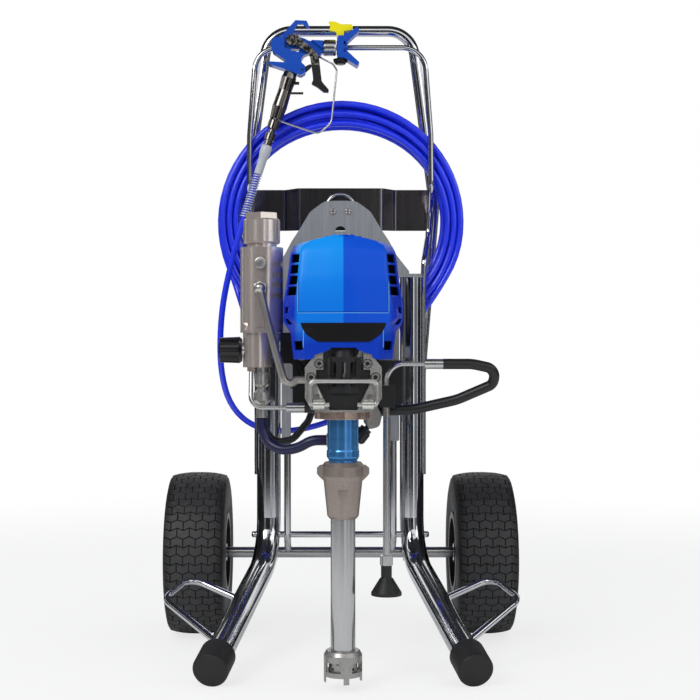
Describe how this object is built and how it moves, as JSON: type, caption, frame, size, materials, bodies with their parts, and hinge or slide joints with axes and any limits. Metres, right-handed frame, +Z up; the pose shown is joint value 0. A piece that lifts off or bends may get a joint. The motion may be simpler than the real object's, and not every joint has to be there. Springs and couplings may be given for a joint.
{
  "type": "airless paint sprayer",
  "caption": "Electric airless paint sprayer on a chrome two-wheel cart, with a piston pump, filter manifold, spray gun and a long hose coiled on its rack.",
  "frame": {"origin": "middle of the bounding box at floor level", "axes": "+X to the right as seen from the pump's side, +Y from the pump's side to the handle's side, +Z up"},
  "size_m": [0.604, 0.59, 1.0728],
  "materials": {
    "chrome": "polished",
    "cap_rubber": "matte",
    "steel": "satin",
    "zinc": "satin",
    "tyre": "matte",
    "rim": "satin",
    "plate_steel": "brushed",
    "mirror_band": "mirror polished",
    "motor": "satin",
    "gear_steel": "satin",
    "cast_nickel": "cast",
    "warm_nickel": "brushed",
    "intake_cast": "cast",
    "blue_plastic": "glossy",
    "blue_anodised": "anodised",
    "black_plastic": "satin",
    "black_gloss": "glossy",
    "yellow_plastic": "glossy",
    "blue_hose": "satin",
    "navy_hose": "satin",
    "black_hose": "satin",
    "packing": "matte",
    "filter_mesh": "mesh",
    "spring_steel": "polished"
  },
  "bodies": {
    "cart": {"frame_tube_left": "chrome", "frame_tube_right": "chrome", "leg_caps": "cap_rubber", "frame_rods": "steel", "foot_loops": "chrome", "axle": "zinc", "frame_brackets": "chrome", "handle": "chrome", "hose_rack": "chrome", "mounting_plate": "plate_steel", "band_bracket": "mirror_band", "lift_ring": "chrome", "motor_can": "motor", "gearbox": "cast_nickel", "bearing_housing": "cast_nickel", "pump_door": "black_plastic", "jam_nut": "warm_nickel", "pump_sleeve": "blue_anodised", "pump_packings": "packing", "intake_nut": "intake_cast", "intake_tube": "zinc", "strainer": "black_plastic", "front_cover": "blue_plastic", "control_box": "black_plastic", "manifold": "warm_nickel", "filter_cap": "warm_nickel", "filter_element": "filter_mesh", "crossover_tube": "gear_steel", "hose_fittings": "zinc", "navy_hose": "navy_hose", "control_lead": "black_hose", "drain_tubes": "zinc", "drain_hose": "black_hose", "tube_clip": "black_plastic", "drain_deflector": "black_plastic", "cap_screws": "zinc", "gun_body": "blue_plastic", "gun_grip": "cast_nickel", "tip_guard": "blue_plastic", "wire_guard": "zinc", "spring_guard": "spring_steel", "hose_lead": "blue_hose", "hose_coil": "blue_hose", "hose_tail": "blue_hose"},
    "wheel_left": {"tyre_left": "tyre", "rim_left": "rim"},
    "wheel_right": {"tyre_right": "tyre", "rim_right": "rim"},
    "rotor": {"armature": "gear_steel"},
    "idler": {"idler_gear": "gear_steel"},
    "crank": {"crank_gear": "gear_steel"},
    "pump_rod": {"con_rod": "gear_steel", "piston_rod": "steel"},
    "knob": {"pressure_knob": "black_gloss"},
    "prime": {"prime_knob": "black_gloss"},
    "trigger": {"gun_trigger": "black_plastic"},
    "lock": {"trigger_lock": "zinc"},
    "tip": {"tip_handle": "yellow_plastic"},
    "bail_hoop": {"bail": "zinc"},
    "switch": {"power_switch": "black_gloss"}
  },
  "joints": [
    {"name": "left_wheel_spin", "type": "hinge", "parent": "cart", "child": "wheel_left", "pos_m": [-0.246, 0.155, 0.14], "axis": [1, 0, 0], "continuous": true},
    {"name": "right_wheel_spin", "type": "hinge", "parent": "cart", "child": "wheel_right", "pos_m": [0.246, 0.155, 0.14], "axis": [1, 0, 0], "continuous": true},
    {"name": "motor_spin", "type": "hinge", "parent": "cart", "child": "rotor", "pos_m": [0, 0, 0.565], "axis": [0, 1, 0], "continuous": true},
    {"name": "idler_spin", "type": "hinge", "parent": "cart", "child": "idler", "pos_m": [0.02617, 0, 0.53475], "axis": [0, 1, 0], "continuous": true},
    {"name": "crank_spin", "type": "hinge", "parent": "cart", "child": "crank", "pos_m": [0, 0, 0.5], "axis": [0, 1, 0], "continuous": true},
    {"name": "pump_stroke", "type": "slide", "parent": "cart", "child": "pump_rod", "axis": [0, 0, 1], "range_m": [-0.032, 0]},
    {"name": "pressure_turn", "type": "hinge", "parent": "cart", "child": "knob", "pos_m": [-0.1553, -0.175, 0.494], "axis": [1, 0, 0], "range_deg": [-135, 135]},
    {"name": "prime_turn", "type": "hinge", "parent": "cart", "child": "prime", "pos_m": [0.05, -0.215, 0.397], "axis": [-0.6198, 0, -0.7848], "range_deg": [0, 90]},
    {"name": "trigger_pull", "type": "hinge", "parent": "cart", "child": "trigger", "pos_m": [-0.083, 0.121, 1.026], "axis": [0, 1, 0], "range_deg": [0, 10], "stiffness_Nm_per_rad": 2, "springref_deg": -20.05},
    {"name": "lock_turn", "type": "hinge", "parent": "cart", "child": "lock", "pos_m": [-0.065, 0.121, 0.975], "axis": [0, 1, 0], "range_deg": [0, 90]},
    {"name": "tip_turn", "type": "hinge", "parent": "cart", "child": "tip", "pos_m": [0, 0.121, 1.0156], "axis": [0, 0, 1], "range_deg": [0, 180]},
    {"name": "bail_swing", "type": "hinge", "parent": "cart", "child": "bail_hoop", "pos_m": [0, -0.28755, 0.416], "axis": [1, 0, 0], "range_deg": [0, 95]},
    {"name": "switch_rock", "type": "hinge", "parent": "cart", "child": "switch", "pos_m": [-0.074, 0.01, 0.445], "axis": [0, 1, 0], "range_deg": [0, 20]}
  ],
  "couplings": [
    {"joint": "idler_spin", "follows": "motor_spin", "ratio": -0.28},
    {"joint": "crank_spin", "follows": "motor_spin", "ratio": 0.089091}
  ]
}
